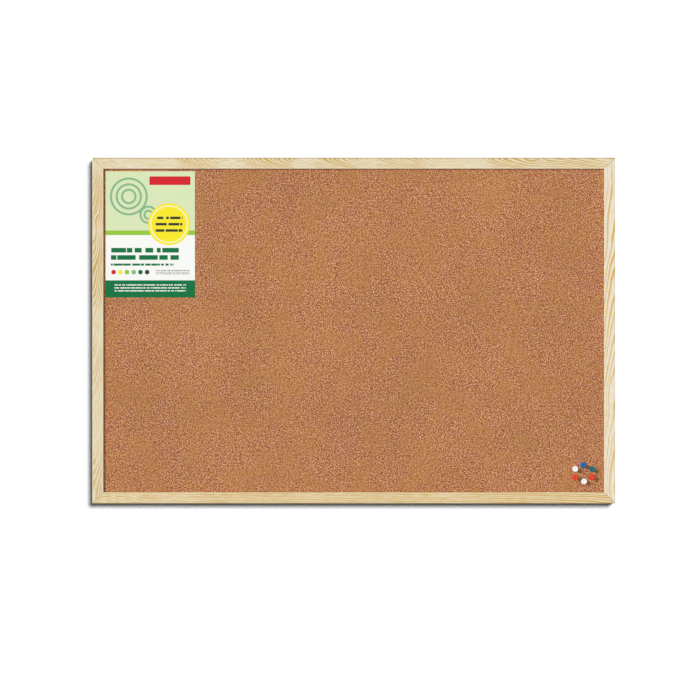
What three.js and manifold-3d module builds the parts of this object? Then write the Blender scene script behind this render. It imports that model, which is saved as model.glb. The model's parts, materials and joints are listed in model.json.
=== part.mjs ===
// A double-sided cork board: a grooved and mitred pine frame round two cork sheets on a softboard core,
// with push pins, a retail card and ring hangers on its back.
// Millimetres, +Z up, the front faces -Y. The origin lies midway between the pivots of the two hanger rings,
// in the plane of the frame's back.
import * as THREE from 'three';
import { mergeVertices } from 'three/addons/utils/BufferGeometryUtils.js';
import Module from 'manifold-3d';

// Board and frame
const boardWidth = 900;
const boardHeight = 595;
const memberWidth = 19;
const memberDepth = 20;
const memberEdgeRadius = 0.9;
const grooveDepth = 7;
const mitreGap = 0.3;

// Panel in the groove
const corkThickness = 1;
const coreThickness = 8;
const glueLine = 0.1;
const panelFaceGap = 0.3;
const panelEdgeGap = 0.5;

// V-nails, one across each mitre, driven from the back
const vNailLeg = 5;
const vNailThickness = 0.6;
const vNailHeight = 10;
const vNailSink = 0.3;
const vNailInset = 8;
const vNailGap = 0.2;

// Retail card on the front cork
const cardWidth = 154;
const cardHeight = 217.3;
const cardThickness = 0.3;
const cardSideGap = 3.4;
const cardTopGap = 4.1;

// Push pins
const pinFlangeRadius = 5;
const pinFlangeRim = 1.1;
const pinWaistRadius = 2.3;
const pinWaistStart = 3.9;
const pinWaistEnd = 7.6;
const pinCapRadius = 3.8;
const pinCapUnderside = 10;
const pinHeight = 12;
const pinEdgeRadius = 0.5;
const needleRadius = 0.55;
const needleReach = 8;
const needleTip = 2.5;
const needleInsert = 7;
const needleInsertGap = 0.1;
const needleHoleGap = 0.3;
const needleEndGap = 0.3;
const pinSeatGap = 0.3;

// Ring of pins, by its centre's distance from the frame's inner edges at the lower right
const pinRingRadius = 16;
const pinRingFromSide = 35.4;
const pinRingFromBottom = 32.7;

// Ring hangers on the backs of the side members
const hangerDrop = 90;
const strapWidth = 10;
const strapThickness = 0.8;
const strapEndMargin = 5;
const strapCornerRadius = 2.5;
const strapCurlSlit = 0.25;
const ringWireRadius = 1;
const ringWidth = 17;
const ringLength = 12.5;
const ringCornerRadius = 2;
const ringPivotGap = 0.3;
const ringWireSplit = 0.4;

// Hanger screws
const screwHeadRadius = 3.2;
const screwHeadHeight = 1.9;
const screwHeadRim = 0.5;
const screwShankRadius = 1.5;
const screwLength = 12;
const screwTip = 3;
const screwPilotGap = 0.15;
const screwHoleGap = 0.3;
const screwHeadGap = 0.8;
const screwRecessSpan = 3.6;
const screwRecessWidth = 0.9;
const screwRecessDepth = 1.1;

// One overrun for all cuts that run past a face
const cutOverrun = 1;

// Facets round a circle, and along a small rounded edge
const headSegments = 20;
const shankSegments = 12;
const wireSegments = 8;
const ringSteps = 56;
const edgeSegments = 3;
const curlSegments = 10;
const waistSegments = 5;

// Where each pin stands in its ring, as shares of the ring's radius to the right and up
const pinPlaceShares = {
  white_left: [-0.88, 0.46],
  blue: [-0.03, 0.87],
  teal: [0.92, 0.44],
  red_left: [-0.91, -0.44],
  red_right: [0.9, -0.42],
  white_low: [0.06, -0.88],
};

// Sizes worked out from those above
const halfWidth = boardWidth / 2;
const halfHeight = boardHeight / 2;
const topZ = hangerDrop;
const bottomZ = topZ - boardHeight;
const middleZ = topZ - halfHeight;
const mitreInset = mitreGap / Math.SQRT2;
const panelThickness = coreThickness + 2 * (corkThickness + glueLine);
const grooveWidth = panelThickness + 2 * panelFaceGap;
const panelWidth = boardWidth - 2 * (memberWidth - grooveDepth + panelEdgeGap);
const panelHeight = boardHeight - 2 * (memberWidth - grooveDepth + panelEdgeGap);
const panelMiddleY = -memberDepth / 2;
const corkFrontY = panelMiddleY - panelThickness / 2;
const strapCurlRadius = ringWireRadius + ringPivotGap + strapThickness;
const hangerX = halfWidth - memberWidth / 2;
const screwDrop = ringLength + screwHeadGap + screwHeadRadius;

// Colours and finishes
const pine = surface(0xe2cfa6, 0.5);
const cork = surface(0xb57c54, 0.9);
const softboard = surface(0x8f7a5c, 0.95);
const card = surface(0xe6eec9, 0.45);
const steel = surface(0xb9bbbd, 0.3, 0.9);
const pinColours = {
  white_left: surface(0xf4f4f2, 0.3),
  blue: surface(0x1460c8, 0.3),
  teal: surface(0x007c7c, 0.3),
  red_left: surface(0xeb412d, 0.3),
  red_right: surface(0xeb412d, 0.3),
  white_low: surface(0xf4f4f2, 0.3),
};

// Turns a shape drawn in Y and Z so that it is extruded along X, or one in X and Z so that it is extruded along -Y
const axisX = new THREE.Vector3(1, 0, 0);
const axisY = new THREE.Vector3(0, 1, 0);
const axisZ = new THREE.Vector3(0, 0, 1);
const drawnAcross = new THREE.Matrix4().makeBasis(axisY, axisZ, axisX);
const drawnOnFace = new THREE.Matrix4().makeBasis(axisX, axisZ, axisY.clone().negate());

const wasm = await Module();
wasm.setup();

function surface(color, roughness, metalness = 0) {
  return new THREE.MeshStandardMaterial({ color, roughness, metalness });
}

function piece(name, geometry, material) {
  const mesh = new THREE.Mesh(geometry, material);
  mesh.name = name;
  return mesh;
}

// Solids and cuts
function toSolid(geometry) {
  const bare = geometry.clone();
  bare.deleteAttribute('normal');
  bare.deleteAttribute('uv');
  const merged = mergeVertices(bare);
  const vertProperties = merged.attributes.position.array;
  const triVerts = new Uint32Array(merged.index.array);
  return new wasm.Manifold(new wasm.Mesh({ numProp: 3, vertProperties, triVerts }));
}

function toGeometry(solid) {
  const { vertProperties, triVerts } = solid.getMesh();
  const geometry = new THREE.BufferGeometry();
  geometry.setAttribute('position', new THREE.BufferAttribute(vertProperties, 3));
  geometry.setIndex(new THREE.BufferAttribute(triVerts, 1));
  geometry.computeVertexNormals();
  return geometry;
}

function cut(mesh, cutters) {
  mesh.updateWorldMatrix(true, false);
  const toMesh = mesh.matrixWorld.clone().invert();
  let solid = toSolid(mesh.geometry);
  for (const cutter of cutters) {
    cutter.updateWorldMatrix(true, false);
    const inMesh = toMesh.clone().multiply(cutter.matrixWorld);
    solid = solid.subtract(toSolid(cutter.geometry.clone().applyMatrix4(inMesh)));
  }
  mesh.geometry = toGeometry(solid);
}

// A closed outline through corners given as x, y and the size of the rounding there
function roundedShape(corners) {
  const shape = new THREE.Shape();
  const count = corners.length;
  corners.forEach(([x, y, radius], i) => {
    const corner = new THREE.Vector2(x, y);
    const [beforeX, beforeY] = corners[(i + count - 1) % count];
    const [afterX, afterY] = corners[(i + 1) % count];
    const entry = new THREE.Vector2(beforeX, beforeY).sub(corner).setLength(radius).add(corner);
    const exit = new THREE.Vector2(afterX, afterY).sub(corner).setLength(radius).add(corner);
    if (i === 0) {
      shape.moveTo(entry.x, entry.y);
    } else {
      shape.lineTo(entry.x, entry.y);
    }
    if (radius > 0) {
      shape.quadraticCurveTo(x, y, exit.x, exit.y);
    }
  });
  shape.closePath();
  return shape;
}

function extrude(shape, depth, basis, curveSegments = edgeSegments) {
  const geometry = new THREE.ExtrudeGeometry(shape, { depth, bevelEnabled: false, curveSegments });
  return geometry.applyMatrix4(basis);
}

function sheet(width, thickness, height) {
  return new THREE.BoxGeometry(width, thickness, height);
}

// Frame members: the outer edge lies at Z zero, the inner edge below it, and the back at Y zero
function memberProfile() {
  const front = -memberDepth;
  const inner = -memberWidth;
  const grooveBack = panelMiddleY + grooveWidth / 2;
  const grooveFront = panelMiddleY - grooveWidth / 2;
  return roundedShape([
    [0, 0, memberEdgeRadius],
    [front, 0, memberEdgeRadius],
    [front, inner, memberEdgeRadius],
    [grooveFront, inner, 0],
    [grooveFront, inner + grooveDepth, 0],
    [grooveBack, inner + grooveDepth, 0],
    [grooveBack, inner, 0],
    [0, inner, memberEdgeRadius],
  ]);
}

function mitredMember(halfLength) {
  const geometry = extrude(memberProfile(), 1, drawnAcross);
  const { position } = geometry.attributes;
  for (let i = 0; i < position.count; i++) {
    const end = 2 * position.getX(i) - 1;
    position.setX(i, end * (halfLength + position.getZ(i) - mitreInset));
  }
  return geometry;
}

function frameMembers() {
  const top = piece('frame_top', mitredMember(halfWidth), pine);
  top.position.z = topZ;
  const bottom = piece('frame_bottom', mitredMember(halfWidth), pine);
  bottom.position.z = bottomZ;
  bottom.rotation.y = Math.PI;
  const left = piece('frame_left', mitredMember(halfHeight), pine);
  left.position.set(-halfWidth, 0, middleZ);
  left.rotation.y = -Math.PI / 2;
  const right = piece('frame_right', mitredMember(halfHeight), pine);
  right.position.set(halfWidth, 0, middleZ);
  right.rotation.y = Math.PI / 2;
  return { top, bottom, left, right };
}

// V-nails: the bend lies on the mitre and each leg runs into one member, towards its outer edge
function vNailGeometry(gap) {
  const inside = -vNailThickness / 2 - gap;
  const outside = vNailThickness / 2 + gap;
  const tip = vNailLeg + gap;
  const outline = roundedShape([
    [inside, inside, 0],
    [tip, inside, 0],
    [tip, outside, 0],
    [outside, outside, 0],
    [outside, tip, 0],
    [inside, tip, 0],
  ]);
  return extrude(outline, vNailHeight, drawnOnFace);
}

function vNailSlotGeometry() {
  const outline = vNailGeometry(vNailGap);
  const slotDepth = vNailSink + vNailHeight + vNailGap + cutOverrun;
  return outline.scale(1, slotDepth / vNailHeight, 1).translate(0, cutOverrun + vNailSink, 0);
}

function placeAtCorner(object, side, level, quarterTurns) {
  const outerZ = level > 0 ? topZ : bottomZ;
  object.position.set(side * (halfWidth - vNailInset), -vNailSink, outerZ - level * vNailInset);
  object.rotation.y = quarterTurns * Math.PI / 2;
  return object;
}

function vNails(frame) {
  const corners = [
    ['top_right', frame.top, frame.right, 1, 1, 0],
    ['bottom_right', frame.bottom, frame.right, 1, -1, 1],
    ['bottom_left', frame.bottom, frame.left, -1, -1, 2],
    ['top_left', frame.top, frame.left, -1, 1, 3],
  ];
  return corners.map(([name, rail, stile, ...place]) => {
    const slot = placeAtCorner(new THREE.Mesh(vNailSlotGeometry()), ...place);
    cut(rail, [slot]);
    cut(stile, [slot]);
    return placeAtCorner(piece(`v_nail_${name}`, vNailGeometry(0), steel), ...place);
  });
}

// Panel: two cork sheets glued to a softboard core
function panelSheets() {
  const core = piece('core_board', sheet(panelWidth, coreThickness, panelHeight), softboard);
  const front = piece('cork_front', sheet(panelWidth, corkThickness, panelHeight), cork);
  const rear = piece('cork_rear', sheet(panelWidth, corkThickness, panelHeight), cork);
  const corkOffset = (coreThickness + corkThickness) / 2 + glueLine;
  core.position.set(0, panelMiddleY, middleZ);
  front.position.set(0, panelMiddleY - corkOffset, middleZ);
  rear.position.set(0, panelMiddleY + corkOffset, middleZ);
  return [core, front, rear];
}

function labelCard() {
  const label = piece('label_card', sheet(cardWidth, cardThickness, cardHeight), card);
  label.position.set(
    memberWidth + cardSideGap + cardWidth / 2 - halfWidth,
    corkFrontY - glueLine - cardThickness / 2,
    topZ - memberWidth - cardTopGap - cardHeight / 2,
  );
  return label;
}

// Push pins, drawn along Y with the flange's seat at zero and the cap above it
function pinHeadGeometry() {
  const profile = new THREE.Path();
  const bore = needleRadius + needleInsertGap;
  const capRim = pinHeight - pinEdgeRadius;
  profile.moveTo(0, needleInsert + needleInsertGap);
  profile.lineTo(bore, needleInsert + needleInsertGap);
  profile.lineTo(bore, 0);
  profile.lineTo(pinFlangeRadius - pinEdgeRadius, 0);
  profile.quadraticCurveTo(pinFlangeRadius, 0, pinFlangeRadius, pinEdgeRadius);
  profile.lineTo(pinFlangeRadius, pinFlangeRim);
  profile.quadraticCurveTo(pinWaistRadius, pinFlangeRim, pinWaistRadius, pinWaistStart);
  profile.lineTo(pinWaistRadius, pinWaistEnd);
  profile.quadraticCurveTo(pinWaistRadius, pinCapUnderside, pinCapRadius, pinCapUnderside);
  profile.lineTo(pinCapRadius, capRim);
  profile.quadraticCurveTo(pinCapRadius, pinHeight, pinCapRadius - pinEdgeRadius, pinHeight);
  profile.lineTo(0, pinHeight);
  return new THREE.LatheGeometry(profile.getPoints(waistSegments), headSegments);
}

function needleGeometry() {
  const profile = [
    new THREE.Vector2(0, -needleReach),
    new THREE.Vector2(needleRadius, needleTip - needleReach),
    new THREE.Vector2(needleRadius, needleInsert),
    new THREE.Vector2(0, needleInsert),
  ];
  return new THREE.LatheGeometry(profile, shankSegments);
}

function needleHole() {
  const radius = needleRadius + needleHoleGap;
  const depth = needleReach + needleEndGap;
  const geometry = new THREE.CylinderGeometry(radius, radius, depth + cutOverrun, shankSegments);
  return new THREE.Mesh(geometry.translate(0, (cutOverrun - depth) / 2, 0));
}

function placePin(object, [rightShare, upShare]) {
  const x = halfWidth - memberWidth - pinRingFromSide + rightShare * pinRingRadius;
  const z = bottomZ + memberWidth + pinRingFromBottom + upShare * pinRingRadius;
  object.position.set(x, corkFrontY - pinSeatGap, z);
  object.rotation.x = Math.PI;
  return object;
}

function pushPins(panel) {
  return Object.entries(pinPlaceShares).map(([name, share]) => {
    const hole = placePin(needleHole(), share);
    for (const layer of panel) {
      cut(layer, [hole]);
    }
    const pin = placePin(new THREE.Group(), share);
    pin.add(piece(`pin_${name}_head`, pinHeadGeometry(), pinColours[name]));
    pin.add(piece(`pin_${name}_needle`, needleGeometry(), steel));
    return pin;
  });
}

// Hanger strap: a plate on the frame's back, its upper end rolled round the ring's bar
function strapProfile() {
  const slitRise = strapThickness + strapCurlSlit - strapCurlRadius;
  const curlEnd = Math.asin(slitRise / strapCurlRadius);
  const innerRadius = strapCurlRadius - strapThickness;
  const plateEnd = -(screwDrop + strapEndMargin);
  const shape = new THREE.Shape();
  shape.moveTo(0, plateEnd);
  shape.lineTo(0, 0);
  shape.absarc(strapCurlRadius, 0, strapCurlRadius, Math.PI, curlEnd - Math.PI / 2, true);
  shape.absarc(strapCurlRadius, 0, innerRadius, curlEnd - Math.PI / 2, Math.PI, false);
  shape.lineTo(strapThickness, plateEnd);
  shape.closePath();
  return shape;
}

function strapOutline() {
  const half = strapWidth / 2;
  const end = -(screwDrop + strapEndMargin);
  const above = strapCurlRadius + cutOverrun;
  return roundedShape([
    [half, above, 0],
    [-half, above, 0],
    [-half, end, strapCornerRadius],
    [half, end, strapCornerRadius],
  ]);
}

function strapGeometry() {
  const rolled = extrude(strapProfile(), strapWidth, drawnAcross, curlSegments);
  rolled.translate(-strapWidth / 2, 0, 0);
  const depth = 2 * (strapCurlRadius + cutOverrun);
  const outline = extrude(strapOutline(), depth, drawnOnFace).translate(0, depth - cutOverrun, 0);
  return toGeometry(toSolid(rolled).intersect(toSolid(outline)));
}

function screwHole() {
  const radius = screwShankRadius + screwHoleGap;
  const geometry = new THREE.CylinderGeometry(radius, radius, strapThickness + 2 * cutOverrun, shankSegments);
  const hole = new THREE.Mesh(geometry);
  hole.position.set(0, strapThickness / 2, -screwDrop);
  return hole;
}

// Ring: round wire bent into a D, its two ends meeting inside the strap's rolled end
function ringPath() {
  const half = ringWidth / 2 - ringWireRadius;
  const bottom = ringWireRadius - ringLength;
  const bowCentre = bottom + half;
  const path = new THREE.Path();
  path.moveTo(ringWireSplit / 2, 0);
  path.lineTo(half - ringCornerRadius, 0);
  path.absarc(half - ringCornerRadius, -ringCornerRadius, ringCornerRadius, Math.PI / 2, 0, true);
  path.lineTo(half, bowCentre);
  path.absarc(0, bowCentre, half, 0, -Math.PI, true);
  path.lineTo(-half, -ringCornerRadius);
  path.absarc(ringCornerRadius - half, -ringCornerRadius, ringCornerRadius, Math.PI, Math.PI / 2, true);
  path.lineTo(-ringWireSplit / 2, 0);
  const points = path.getSpacedPoints(ringSteps).map(({ x, y }) => new THREE.Vector3(x, 0, y));
  return new THREE.CatmullRomCurve3(points);
}

function ringGeometry() {
  const section = new THREE.Shape().absarc(0, 0, ringWireRadius, 0, 2 * Math.PI, false);
  return new THREE.ExtrudeGeometry(section, {
    steps: ringSteps,
    curveSegments: wireSegments / 2,
    extrudePath: ringPath(),
  });
}

// Screw, drawn along Y with the head's seat at zero. The shank has its thread's outer size.
function screwGeometry() {
  const profile = new THREE.Path();
  profile.moveTo(0, -screwLength);
  profile.lineTo(screwShankRadius, screwTip - screwLength);
  profile.lineTo(screwShankRadius, 0);
  profile.lineTo(screwHeadRadius, 0);
  profile.lineTo(screwHeadRadius, screwHeadRim);
  profile.quadraticCurveTo(screwHeadRadius, screwHeadHeight, 0, screwHeadHeight);
  return new THREE.LatheGeometry(profile.getPoints(waistSegments), headSegments);
}

function screwRecess() {
  const depth = screwRecessDepth + cutOverrun;
  const middle = screwHeadHeight - screwRecessDepth + depth / 2;
  return [0, Math.PI / 2].map((turn) => {
    const slot = new THREE.Mesh(sheet(screwRecessSpan, depth, screwRecessWidth));
    slot.position.y = middle;
    slot.rotation.y = turn;
    return slot;
  });
}

function hangerScrew(name) {
  const screw = piece(name, screwGeometry(), steel);
  cut(screw, screwRecess());
  screw.position.set(0, strapThickness, -screwDrop);
  return screw;
}

function pilotHole(x) {
  const radius = screwShankRadius + screwPilotGap;
  const depth = screwLength - strapThickness + screwPilotGap;
  const geometry = new THREE.CylinderGeometry(radius, radius, depth + cutOverrun, shankSegments);
  const hole = new THREE.Mesh(geometry);
  hole.position.set(x, (cutOverrun - depth) / 2, -screwDrop);
  return hole;
}

function hanger(name, x, stile) {
  const strap = piece(`hanger_${name}_strap`, strapGeometry(), steel);
  cut(strap, [screwHole()]);
  const ring = piece(`hanger_${name}_ring`, ringGeometry(), steel);
  ring.position.y = strapCurlRadius;
  cut(stile, [pilotHole(x)]);
  const group = new THREE.Group();
  group.position.x = x;
  group.add(strap, ring, hangerScrew(`hanger_${name}_screw`));
  return group;
}

function corkBoard() {
  const board = new THREE.Group();
  const frame = frameMembers();
  const panel = panelSheets();
  board.add(...Object.values(frame), ...vNails(frame));
  board.add(...panel, ...pushPins(panel), labelCard());
  board.add(hanger('left', -hangerX, frame.left), hanger('right', hangerX, frame.right));
  return board;
}

export default corkBoard();
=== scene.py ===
"""A double-sided cork board in a pine frame, seen straight on as it hangs close to a white wall."""
import json
import math

import bmesh
import bpy
from mathutils import Matrix, Vector


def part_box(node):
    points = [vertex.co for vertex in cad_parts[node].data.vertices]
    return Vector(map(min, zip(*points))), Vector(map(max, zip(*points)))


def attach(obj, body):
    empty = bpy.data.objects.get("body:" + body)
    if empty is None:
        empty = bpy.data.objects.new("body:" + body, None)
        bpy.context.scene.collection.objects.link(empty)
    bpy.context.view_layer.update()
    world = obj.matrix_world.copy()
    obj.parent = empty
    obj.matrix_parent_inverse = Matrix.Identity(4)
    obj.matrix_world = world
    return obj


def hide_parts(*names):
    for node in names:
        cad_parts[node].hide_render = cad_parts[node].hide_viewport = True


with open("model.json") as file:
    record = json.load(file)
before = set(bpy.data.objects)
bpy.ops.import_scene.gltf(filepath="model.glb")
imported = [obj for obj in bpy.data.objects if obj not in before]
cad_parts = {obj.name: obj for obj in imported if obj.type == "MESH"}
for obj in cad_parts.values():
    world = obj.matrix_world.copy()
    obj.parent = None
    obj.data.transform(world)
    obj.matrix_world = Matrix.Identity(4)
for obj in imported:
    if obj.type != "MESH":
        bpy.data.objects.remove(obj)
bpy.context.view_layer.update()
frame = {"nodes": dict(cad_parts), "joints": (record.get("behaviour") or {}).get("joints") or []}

mm = 0.001

# The picture: where the board stands in it, and how far off the camera is
picture_size = 700
board_width_in_picture = 523.0
board_middle_in_picture = (353.8, 330.5)
camera_distance = 4.6
camera_sight = 100
sensor_width = 36

# The board, measured on the frame
board_low = Vector((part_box("frame_left")[0].x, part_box("frame_top")[0].y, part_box("frame_bottom")[0].z))
board_high = Vector((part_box("frame_right")[1].x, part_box("frame_top")[1].y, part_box("frame_top")[1].z))
board_middle = (board_low + board_high) / 2
board_size = board_high - board_low
board_corners = ("top_left", "top_right", "bottom_left", "bottom_right")
member_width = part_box("frame_top")[1].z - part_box("frame_top")[0].z
member_depth = board_size.y
cork_front_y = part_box("cork_front")[0].y
cork_rear_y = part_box("cork_rear")[1].y
panel_face_gap = 0.3 * mm
panel_edge_gap = 0.5 * mm
groove_depth = member_width - (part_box("cork_front")[0].x - board_low.x) + panel_edge_gap
member_edge_radius = 0.9 * mm
member_edge_steps = 5
mitre_gap = 0.3 * mm
mitre_bevel = 0.4 * mm

# Driven hardware and the holes for it
v_nail_thickness = 0.6 * mm
v_nail_slot_gap = 0.2 * mm
screw_shank_radius = 1.5 * mm
pilot_gap = 0.15 * mm
hole_sides = 24
cut_overrun = 1 * mm

# Meshes, with angles in degrees
bevel_steps = 2
bevel_least_angle = 50
sharp_angle = 35
flat_face_weight = 90

# Noise and other levels run from 0 to 1
level_middle = 0.5


def colour(red, green, blue):
    """A colour given as it shows on screen, from 0 to 255, as the linear one that a node takes."""
    shares = [value / 255 for value in (red, green, blue)]
    return (*[s / 12.92 if s <= 0.04045 else ((s + 0.055) / 1.055) ** 2.4 for s in shares], 1)


class Paint:
    """A material's nodes. Each call adds a node and gives the output that the next one reads."""

    def __init__(self, name, roughness=0.5, metallic=0.0, specular=0.5):
        self.material = bpy.data.materials.new(name)
        self.material.use_nodes = True
        self.tree = self.material.node_tree
        self.shader = self.tree.nodes["Principled BSDF"]
        self.shader.inputs["Roughness"].default_value = roughness
        self.shader.inputs["Metallic"].default_value = metallic
        self.shader.inputs["Specular IOR Level"].default_value = specular
        self.place = self.add("TexCoord", output="Object")

    def feed(self, socket, value):
        if isinstance(value, bpy.types.NodeSocket):
            self.tree.links.new(value, socket)
        else:
            socket.default_value = value

    def add(self, kind, inputs=None, output=0, **settings):
        node = self.tree.nodes.new("ShaderNode" + kind)
        for key, value in settings.items():
            setattr(node, key, value)
        for key, value in (inputs or {}).items():
            self.feed(node.inputs[key], value)
        return node.outputs[output]

    def math(self, operation, *values):
        return self.add("Math", dict(enumerate(values)), operation=operation)

    def times(self, first, second):
        return self.math("MULTIPLY", first, second)

    def scaled(self, level, factor, offset):
        return self.math("MULTIPLY_ADD", level, factor, offset)

    def vector(self, operation, *values, output=0):
        return self.add("VectorMath", dict(enumerate(values)), output=output, operation=operation)

    def split(self, triple, kind="XYZ"):
        node = self.tree.nodes.new("ShaderNodeSeparate" + kind)
        self.feed(node.inputs[0], triple)
        return tuple(node.outputs)

    def noise(self, size, place=None, detail=2.0, roughness=0.5, output="Fac", dimensions="3D"):
        """Noise at a place, which is the object's own point unless another is given."""
        place = self.place if place is None else place
        inputs = {"Vector": place, "Scale": 1 / size, "Detail": detail, "Roughness": roughness}
        return self.add("TexNoise", inputs, output, noise_dimensions=dimensions)

    def line_noise(self, along, wavelength, seed, detail=1.0):
        """Noise along one coordinate."""
        inputs = {"W": self.scaled(along, 1 / wavelength, seed), "Scale": 1.0, "Detail": detail}
        return self.add("TexNoise", inputs, noise_dimensions="1D")

    def wander(self, along, amplitude, wavelength, seed):
        """A smooth random line along one coordinate, from minus to plus the amplitude."""
        return self.scaled(self.line_noise(along, wavelength, seed), 2 * amplitude, -amplitude)

    def cells(self, place, size, output="Color"):
        """A pattern of cells over the first two coordinates."""
        inputs = {"Vector": place, "Scale": 1 / size}
        return self.add("TexVoronoi", inputs, output, voronoi_dimensions="2D")

    def ramp(self, level, stops, interpolation="LINEAR"):
        node = self.tree.nodes.new("ShaderNodeValToRGB")
        node.color_ramp.interpolation = interpolation
        elements = node.color_ramp.elements
        while len(elements) < len(stops):
            elements.new(1.0)
        for element, (position, value) in zip(elements, stops):
            element.position = position
            element.color = value if isinstance(value, tuple) else (value, value, value, 1)
        self.feed(node.inputs[0], level)
        return node.outputs[0]

    def mix(self, factor, first, second, blend="MIX"):
        node = self.tree.nodes.new("ShaderNodeMix")
        node.data_type = "RGBA"
        node.blend_type = blend
        self.feed(node.inputs[0], factor)
        self.feed(node.inputs[6], first)
        self.feed(node.inputs[7], second)
        return node.outputs[2]

    def spread(self, level, low, high):
        """A level from 0 to 1 laid out between two values."""
        return self.scaled(level, high - low, low)

    def bump(self, height, distance):
        inputs = {"Height": height, "Distance": distance, "Strength": 1.0}
        self.feed(self.shader.inputs["Normal"], self.add("Bump", inputs))

    def darken(self, base, level, darkest):
        """The base colour times a grey that falls to its darkest where a level is low."""
        return self.mix(1.0, base, self.ramp(level, [(0.3, darkest), (0.7, 1.0)]), "MULTIPLY")

    def finish(self, base, roughness=None):
        self.feed(self.shader.inputs["Base Color"], base)
        if roughness is not None:
            self.feed(self.shader.inputs["Roughness"], roughness)
        return self.material


# Cork: granules of ground bark pressed into a sheet, in browns, golds and pinks, with flecks of dark bark.
# They show strongly in some patches and are calmer and more golden in others. Each stop pairs a level of
# noise with the share of a colour. The granules shift with depth, so that the sheet's edges show them too.
granule_size = 0.9 * mm
cork_cluster_size = 2.0 * mm
cork_cluster_weight = 3.0
cork_cluster_turn = 0.5
cork_chance_weight = 0.1
cork_wobble_size = 0.7 * mm
cork_wobble = 0.7 * mm
bark_size = 7 * mm
bark_radius_share = 0.12
bark_free_share = 0.5
bark_cover_share = 0.75
cork_shift_with_depth = 7.0
cork_relief = 0.1 * mm
cork_tint_size = 9 * mm
cork_tint_chance_share = 0.6
cork_patch_size = 48 * mm
cork_mottle_size = 150 * mm
cork_tones = (0.84, 1.11)
cork_roughness = (0.82, 0.95)
cork_specular = 0.15
cork_golden = colour(204, 140, 54)
cork_pinkish = colour(192, 108, 102)
cork_calm = colour(188, 131, 74)
cork_busy = colour(190, 120, 92)
cork_bark = colour(84, 40, 26)
granule_shades = [
    (0.0, colour(76, 32, 18)),
    (0.16, colour(136, 76, 46)),
    (0.38, colour(177, 115, 64)),
    (0.66, colour(205, 142, 89)),
    (0.84, colour(252, 206, 162)),
]
golden_stops = [(0.5, 0.0), (0.66, 0.55)]
pinkish_stops = [(0.34, 0.55), (0.5, 0.0)]
calm_stops = [(0.38, 0.38), (0.54, 0.0)]
busy_stops = [(0.48, 0.0), (0.66, 0.12)]


def cork_material():
    paint = Paint("pressed_cork", specular=cork_specular)
    x, y, z = paint.split(paint.place)
    x = paint.scaled(y, cork_shift_with_depth, x)
    straight = paint.add("CombineXYZ", {0: x, 1: z})
    wobble = paint.noise(cork_wobble_size, straight, detail=1, output="Color", dimensions="2D")
    wobble = paint.vector("SUBTRACT", wobble, (level_middle, level_middle, level_middle))
    flat = paint.vector("MULTIPLY_ADD", wobble, (cork_wobble, cork_wobble, 0.0), straight)
    chance, tint, _ = paint.split(paint.cells(flat, granule_size), "Color")
    across, up, _ = paint.split(paint.cells(flat, granule_size, output="Position"))
    turned_x = paint.scaled(up, cork_cluster_turn, across)
    turned_z = paint.scaled(across, -cork_cluster_turn, up)
    turned = paint.add("CombineXYZ", {0: turned_x, 1: turned_z})
    cluster = paint.noise(cork_cluster_size, turned, detail=0, dimensions="2D")
    cluster = paint.math("SUBTRACT", cluster, level_middle)
    kind = paint.scaled(cluster, cork_cluster_weight, level_middle)
    kind = paint.scaled(paint.math("SUBTRACT", chance, level_middle), cork_chance_weight, kind)
    base = paint.ramp(kind, granule_shades, "CONSTANT")
    around = paint.noise(cork_tint_size)
    around = paint.times(around, 1 - cork_tint_chance_share)
    tint = paint.scaled(tint, cork_tint_chance_share, around)
    base = paint.mix(paint.ramp(tint, golden_stops), base, cork_golden)
    base = paint.mix(paint.ramp(tint, pinkish_stops), base, cork_pinkish)
    patch = paint.noise(cork_patch_size)
    base = paint.mix(paint.ramp(patch, calm_stops), base, cork_calm)
    base = paint.mix(paint.ramp(patch, busy_stops), base, cork_busy)
    mottle = paint.noise(cork_mottle_size)
    tone = paint.spread(mottle, *cork_tones)
    base = paint.vector("MULTIPLY", base, paint.add("CombineXYZ", {0: tone, 1: tone, 2: tone}))
    bark_kind = paint.split(paint.cells(flat, bark_size), "Color")[1]
    bark_middle = paint.cells(flat, bark_size, output="Distance")
    near = paint.math("LESS_THAN", bark_middle, bark_radius_share)
    bark = paint.times(paint.math("GREATER_THAN", bark_kind, bark_free_share), near)
    base = paint.mix(paint.times(bark, bark_cover_share), base, cork_bark)
    paint.bump(kind, cork_relief)
    return paint.finish(base, paint.spread(chance, *cork_roughness))


# Softboard between the cork sheets: matted wood fibre, pressed flat
softboard_fibre_size = 0.8 * mm
softboard_pressing = (1.0, 4.0, 1.0)
softboard_shades = [(0.3, colour(112, 92, 66)), (0.7, colour(164, 142, 108))]
softboard_relief = 0.1 * mm


def softboard_material():
    paint = Paint("softboard_fibre", roughness=0.95)
    pressed = paint.vector("MULTIPLY", paint.place, softboard_pressing)
    matted = paint.noise(softboard_fibre_size, pressed, detail=4, roughness=0.7)
    paint.bump(matted, softboard_relief)
    return paint.finish(paint.ramp(matted, softboard_shades))


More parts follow.
